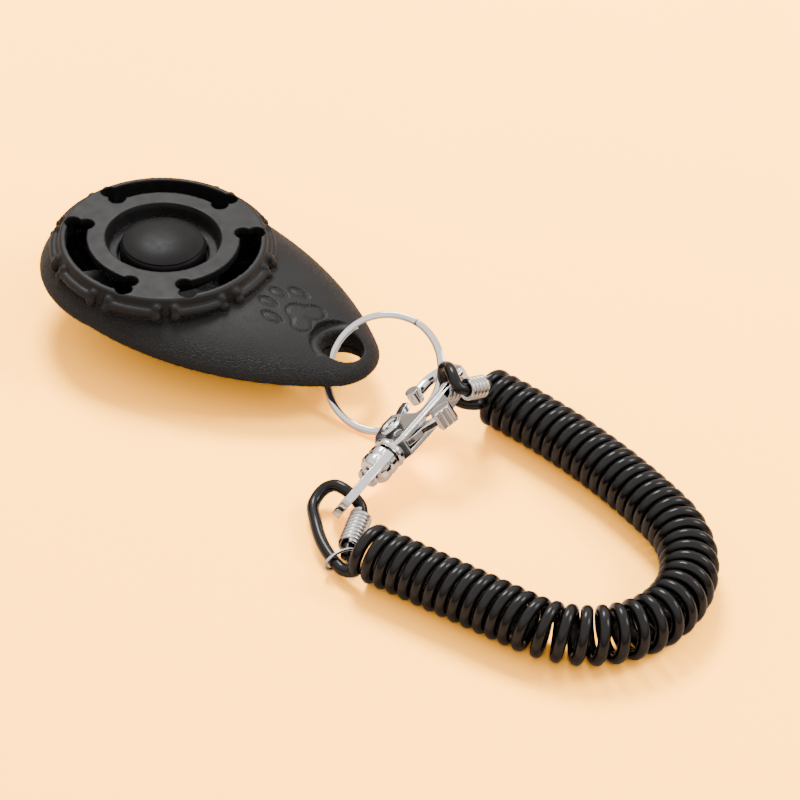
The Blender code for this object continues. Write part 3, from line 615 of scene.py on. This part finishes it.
def upper_shell():
    shell = egg("upper_case")
    disc = [
        (0.0, PLATFORM_Z), (PLATFORM_RADIUS - 0.35, PLATFORM_Z), (PLATFORM_RADIUS, PLATFORM_Z - 0.15),
        (PLATFORM_RADIUS + 0.25, PLATFORM_Z - 0.7), (PLATFORM_RADIUS + 0.75, BONE_RING_Z),
        (PLATFORM_RADIUS + 0.9, BONE_RING_Z - 2.5), (0.0, BONE_RING_Z - 2.5),
    ]
    shell = join(shell, turned("platform", disc, 128))
    for k in range(BONE_COUNT):
        shell = join(shell, bone_relief("bone", k * 360 / BONE_COUNT))
    cavity = egg("cavity", WALL, 29.0, 36, 48)
    cavity = join(cavity, cylinder("room", PLATFORM_RADIUS - 1.2, 9.0, PLATFORM_Z - 1.6, segments=64))
    for angle in SCREW_ANGLES:
        cavity = cut(cavity, cylinder("boss", 2.3, 0.0, 20.0, polar(SCREW_RADIUS_AT, angle), 32))
    neck_radius = RECESS_RADIUS + 1.2
    cavity = cut(cavity, cylinder("neck", neck_radius, 13.1, 19.0, segments=64))
    shell = cut(shell, cavity)
    recess = [
        (0.0, 19.0), (RECESS_RADIUS, 19.0), (RECESS_RADIUS, PLATFORM_Z - 0.3),
        (RECESS_RADIUS - 0.2, PLATFORM_Z - 0.7), (RECESS_RADIUS - 0.5, 14.0),
        (BUTTON_RADIUS + 0.35, 13.9), (BUTTON_RADIUS + 0.35, 12.0), (0.0, 12.0),
    ]
    shell = cut(shell, turned("recess", recess, 96))
    for angle in (0, 120, 240):
        shell = cut(shell, bone_slot("slot", angle))
    shell = cut(shell, hole_cutter("tail_hole"))
    shell = cut(shell, under_seam("below", SEAM_GAP / 2))
    shell = soften(shell, 0.2, 5)
    press_paw(shell.data)
    return dress(shell, BODY)


def lower_shell():
    shell = egg("lower_case")
    cavity = egg("cavity_low", WALL, 29.0, 36, 48)
    for angle in SCREW_ANGLES:
        cavity = cut(cavity, cylinder("post", 3.3, -1.0, 12.0, polar(SCREW_RADIUS_AT, angle), 32))
    pedestal = spin(box("pedestal", (9.4, -4.4, -1.0), (15.6, 4.4, 7.2)), -120.0)
    cavity = cut(cavity, pedestal)
    shell = cut(shell, cavity)
    for angle in SCREW_ANGLES:
        shell = cut(shell, cylinder("counterbore", 2.3, -1.0, 6.6, polar(SCREW_RADIUS_AT, angle), 36))
    shell = cut(shell, hole_cutter("tail_hole_low"))
    keep = box("keep", (-29.9, -29.9, -11.0), (49.9, 29.9, 30.0))
    keep = cut(keep, under_seam("above", -SEAM_GAP / 2))
    shell = cut(shell, keep)
    shell = soften(shell, 0.25, 3)
    return dress(shell, BODY)


def button():
    """A flat-crowned dome with a full round shoulder."""
    dome = []
    for k in range(25):
        share = k / 24
        dome.append((BUTTON_RADIUS * 0.93 * share, PLATFORM_Z + 0.45 - 1.35 * share**2.4))
    shoulder = arc((BUTTON_RADIUS * 0.93 - 0.75, PLATFORM_Z - 2.15), 1.27, 70, 0, 8)
    shoulder = [(min(r, BUTTON_RADIUS), z) for r, z in shoulder]
    profile = dome + shoulder[2:] + [
        (BUTTON_RADIUS, 12.9), (BUTTON_RADIUS + 0.95, 12.75), (BUTTON_RADIUS + 0.95, 11.8),
        (BUTTON_RADIUS - 1.2, 11.8), (BUTTON_RADIUS - 1.2, 14.2), (2.0, 14.4), (1.9, 10.4),
        (1.2, 9.75), (0.0, 9.7),
    ]
    cap = turned("button_dome", profile, 96)
    cap.data.shade_smooth()
    cap.data.set_sharp_from_angle(angle=math.radians(40))
    return dress(cap, BUTTON)


# ---------------------------------------------------------------- ring, snap and cord

def ring_frame():
    tilt = math.radians(RING_TILT)
    normal = Vector((0.0, -math.cos(tilt), math.sin(tilt)))
    side = Vector((1.0, 0.0, 0.0))
    matrix = Matrix((side, normal.cross(side), normal)).transposed().to_4x4()
    matrix.translation = Vector(RING_CENTRE) * MM
    return matrix


def split_ring():
    cross_from, cross_to = RING_CROSSOVER
    points = []
    for degrees in np.arange(cross_to + 6.0, cross_to + 6.0 + 660.0, 4.0):
        share = (degrees - 360.0 - cross_from) / (cross_to - cross_from)
        share = min(max(share, 0.0), 1.0)
        layer = RING_HALF_GAP * (2 * (3 * share**2 - 2 * share**3) - 1)
        x, y = polar(RING_RADIUS, degrees)
        points.append((x, y, 2 * layer))
    ring = tube("key_ring", points, RING_WIRE, 6)
    ring.data.transform(Matrix.Diagonal((1.0, 1.0, 0.5, 1.0)))
    ring.data.transform(ring_frame())
    return dress(ring, CHROME)


def snap_frame():
    along = Vector(SNAP_AXIS).normalized()
    roll = math.radians(SNAP_ROLL)
    side = Vector((math.cos(roll), 0.0, math.sin(roll)))
    side = (side - side.dot(along) * along).normalized()
    matrix = Matrix((side, along, side.cross(along))).transposed().to_4x4()
    matrix.translation = Vector(SNAP_ORIGIN) * MM
    return matrix


def in_snap(x, y, z=0.0):
    return (snap_frame() @ (Vector((x, y, z)) * MM)) / MM


def cast(node, name, voxel, rounds):
    """A packed metal part with the softened edges of a casting."""
    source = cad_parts[node]
    mesh = source.data.copy()
    obj = link(bpy.data.objects.new(name, mesh))
    obj.matrix_world = source.matrix_world.copy()
    made = soften(obj, voxel, rounds)
    return dress(made, CHROME)


def coil_centre():
    place = Vector((COIL_START[0], COIL_START[1], 0.0))
    heading = 0.0
    step = 0.02
    samples = []
    for length, turn, pitch in COIL_ARCS:
        count = round(length / step)
        for _ in range(count):
            samples.append((place.copy(), heading, pitch))
            heading += math.radians(turn) / count
            place = place + Vector((math.cos(heading), math.sin(heading), 0.0)) * step
    samples.append((place.copy(), heading, COIL_ARCS[-1][2]))
    return samples, step


def coil_points(per_turn=28, first_angle=-150.0, last_angle=20.0):
    samples, step = coil_centre()
    pitches = np.array([pitch for _, _, pitch in samples])
    window = 305
    eased = np.convolve(np.pad(pitches, window // 2, mode="edge"), np.ones(window) / window, "valid")
    phase = math.radians(first_angle)
    every = 2 * math.pi / per_turn
    since = every
    points = []
    phases = []
    for (place, heading, _), pitch in zip(samples, eased):
        if since >= every:
            since -= every
            left = Vector((-math.sin(heading), math.cos(heading), 0.0))
            rise = Vector((0.0, 0.0, COIL_Z + COIL_RADIUS * math.sin(phase)))
            points.append(place + left * (COIL_RADIUS * math.cos(phase)) + rise)
            phases.append(math.degrees(phase))
        turned_by = 2 * math.pi * step / pitch
        phase -= turned_by
        since += turned_by
    while abs((phases[-1] - last_angle + 180.0) % 360.0 - 180.0) > 180.0 / per_turn:
        phases.pop()
        points.pop()
    return points


def near_crimp_ends():
    return in_snap(1.9, -8.0, -2.75), Vector((61.2, -35.6, 2.25))


def near_end():
    eye_side, end_side = near_crimp_ends()
    return [
        (62.1, -37.6, 2.2), end_side, (eye_side + end_side) / 2, eye_side, in_snap(1.3, -6.7, -1.7),
        in_snap(0.0, -6.1, 0.0), in_snap(-1.5, -5.9, 1.3), in_snap(-3.1, -6.0, 2.0), in_snap(-4.7, -7.2, 2.1),
        in_snap(-4.6, -10.4, 1.8), (53.6, -33.6, 2.3), (57.0, -37.0, 2.2), (60.6, -39.4, 2.1),
        (63.4, -40.5, 2.0),
    ]


def far_crimp_ends():
    return in_snap(5.75, 20.1, 0.35), in_snap(4.9, 23.9, -2.3)


def far_end():
    hook_side, end_side = far_crimp_ends()
    return [
        in_snap(2.6, 22.6, -5.2), in_snap(1.7, 21.4, -4.1), in_snap(0.6, 21.0, -3.2),
        in_snap(-0.4, 21.2, -2.0), in_snap(-0.8, 21.5, -0.4), in_snap(-0.75, 21.9, 1.4),
        in_snap(0.2, 22.3, 3.0), in_snap(1.9, 22.0, 3.4), in_snap(3.5, 21.0, 3.4),
        in_snap(4.9, 19.7, 2.5), in_snap(5.6, 19.2, 1.4), hook_side,
        (hook_side + end_side) / 2, end_side, end_side + (end_side - hook_side).normalized() * 1.0,
    ]


def wrist_coil():
    helix = coil_points()
    start = through(near_end() + [helix[0], helix[1]], 0.3)[:-1]
    end = through([helix[-2], helix[-1]] + far_end(), 0.3)[1:]
    return dress(tube("coiled_cord", start + helix[1:-1] + end, CORD_RADIUS, 6), CORD)


def crimp(name, start, end):
    length = (Vector(end) - Vector(start)).length
    turns = round(length / CRIMP_PITCH)
    wire = tube(name, helix_along(start, end, CORD_RADIUS + CRIMP_REACH, turns), CRIMP_WIRE, 4)
    return dress(wire, STEEL)


def band(name, centre, first, second):
    centre, first, second = Vector(centre), Vector(first), Vector(second)
    points = []
    for k in range(64):
        a = 2 * math.pi * k / 64
        points.append(centre + first * math.cos(a) + second * math.sin(a))
    return dress(tube(name, points, BAND_WIRE, 4, cyclic=True), STEEL)


# ---------------------------------------------------------------- pieces and the parts they stand for

def stand_for(piece, node, body):
    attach(piece, body)
    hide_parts(node)


def pieces():
    stand_for(upper_shell(), "upper_shell", "housing")
    stand_for(lower_shell(), "lower_shell", "housing")
    stand_for(button(), "button_cap", "button")
    stand_for(split_ring(), "split_ring", "ring")
    stand_for(cast("clasp_body", "snap_body", 0.1, 4), "clasp_body", "clasp")
    stand_for(cast("clasp_lever", "snap_lever", 0.1, 3), "clasp_lever", "lever")
    stand_for(cast("swivel_eye", "snap_eye", 0.1, 10), "swivel_eye", "swivel")
    stand_for(wrist_coil(), "wrist_coil", "coil")
    stand_for(crimp("near_crimp", *near_crimp_ends()), "near_cord_crimp", "coil")
    stand_for(crimp("far_crimp", *far_crimp_ends()), "far_cord_crimp", "coil")
    near_band = band("near_band", (61.6, -38.6, 2.1), (1.22, 2.7, 0.0), (0.0, 0.0, 1.68))
    stand_for(near_band, "near_cord_band", "coil")
    carried = {
        "click_reed": STEEL, "reed_holder": INNER, "reed_screw": ZINC, "case_screw_1": ZINC,
        "case_screw_2": ZINC, "case_screw_3": ZINC, "lever_pin": STEEL, "lever_spring": STEEL,
        "swivel_rivet": STEEL,
    }
    for node, made in carried.items():
        dress(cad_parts[node], made)


# ---------------------------------------------------------------- table, light and camera

def table():
    """A pale paper sweep: bright to the eye, with ordinary reflectance for the light it gives back."""
    bm = bmesh.new()
    bmesh.ops.create_grid(bm, x_segments=40, y_segments=40, size=1.5)
    floor = mesh_object("table", bm)
    m = Nodes("table_top", (0.93, 0.72, 0.48), 0.6)
    seen = m.add("ShaderNodeMix", data_type="RGBA")
    mottled = m.add("ShaderNodeMix", data_type="RGBA")
    mottled.inputs["A"].default_value = (*[0.985 * c for c in FLOOR_SEEN], 1.0)
    mottled.inputs["B"].default_value = (*FLOOR_SEEN, 1.0)
    m.link(m.spread(m.noise(0.02, 2.0), 0.0, 1.0), mottled.inputs["Factor"])
    m.link(mottled.outputs["Result"], seen.inputs["B"])
    path = m.add("ShaderNodeLightPath")
    given = m.add("ShaderNodeMix", data_type="RGBA")
    given.inputs["A"].default_value = (*FLOOR_GIVES, 1.0)
    given.inputs["B"].default_value = (*FLOOR_SHINES, 1.0)
    m.link(path.outputs["Is Glossy Ray"], given.inputs["Factor"])
    m.link(given.outputs["Result"], seen.inputs["A"])
    m.link(path.outputs["Is Camera Ray"], seen.inputs["Factor"])
    paper = m.add("ShaderNodeBsdfDiffuse")
    m.link(seen.outputs["Result"], paper.inputs["Color"])
    out = m.tree.nodes["Material Output"]
    m.link(paper.outputs["BSDF"], out.inputs["Surface"])
    dress(floor, m.made)


def area_light(name, place, aim, size, power, colour):
    data = bpy.data.lights.new(name, "AREA")
    data.shape = "DISK"
    data.size = size
    data.energy = power
    data.color = colour
    light = link(bpy.data.objects.new(name, data))
    light.location = place
    light.rotation_euler = (Vector(aim) - Vector(place)).to_track_quat("-Z", "Y").to_euler()
    return light


def lights():
    for name, (place, size, power) in (("key", KEY_LIGHT), ("rim", RIM_LIGHT)):
        area_light(name, place, LIGHT_AIM, size, power, WHITE)
    world = bpy.data.worlds.new("room")
    world.use_nodes = True
    bpy.context.scene.world = world
    tree = world.node_tree
    back = tree.nodes["Background"]
    where = tree.nodes.new("ShaderNodeTexCoord")
    split = tree.nodes.new("ShaderNodeSeparateXYZ")
    ramp = tree.nodes.new("ShaderNodeValToRGB")
    tree.links.new(where.outputs["Generated"], split.inputs["Vector"])
    tree.links.new(split.outputs["Z"], ramp.inputs["Fac"])
    tree.links.new(ramp.outputs["Color"], back.inputs["Color"])
    ramp.color_ramp.elements[0].position = 0.0
    ramp.color_ramp.elements[0].color = (*ROOM_LOW, 1.0)
    ramp.color_ramp.elements[1].position = ROOM_RISE
    ramp.color_ramp.elements[1].color = (*ROOM_HIGH, 1.0)
    path = tree.nodes.new("ShaderNodeLightPath")
    strength = tree.nodes.new("ShaderNodeMapRange")
    strength.inputs["To Min"].default_value = ROOM_GLOW
    strength.inputs["To Max"].default_value = ROOM_SHINE
    tree.links.new(path.outputs["Is Glossy Ray"], strength.inputs["Value"])
    tree.links.new(strength.outputs["Result"], back.inputs["Strength"])


def camera():
    right = Vector(VIEW_RIGHT)
    back = Vector(VIEW_BACK).normalized()
    right = (right - right.dot(back) * back).normalized()
    up = back.cross(right)
    data = bpy.data.cameras.new("view")
    data.lens = VIEW_LENS
    data.sensor_width = 36.0
    data.clip_start = 0.01
    view = link(bpy.data.objects.new("view", data))
    matrix = Matrix((right, up, back)).transposed().to_4x4()
    matrix.translation = Vector(VIEW_TARGET) * MM + back * VIEW_DISTANCE
    view.matrix_world = matrix
    bpy.context.scene.camera = view


pieces()
table()
lights()
camera()
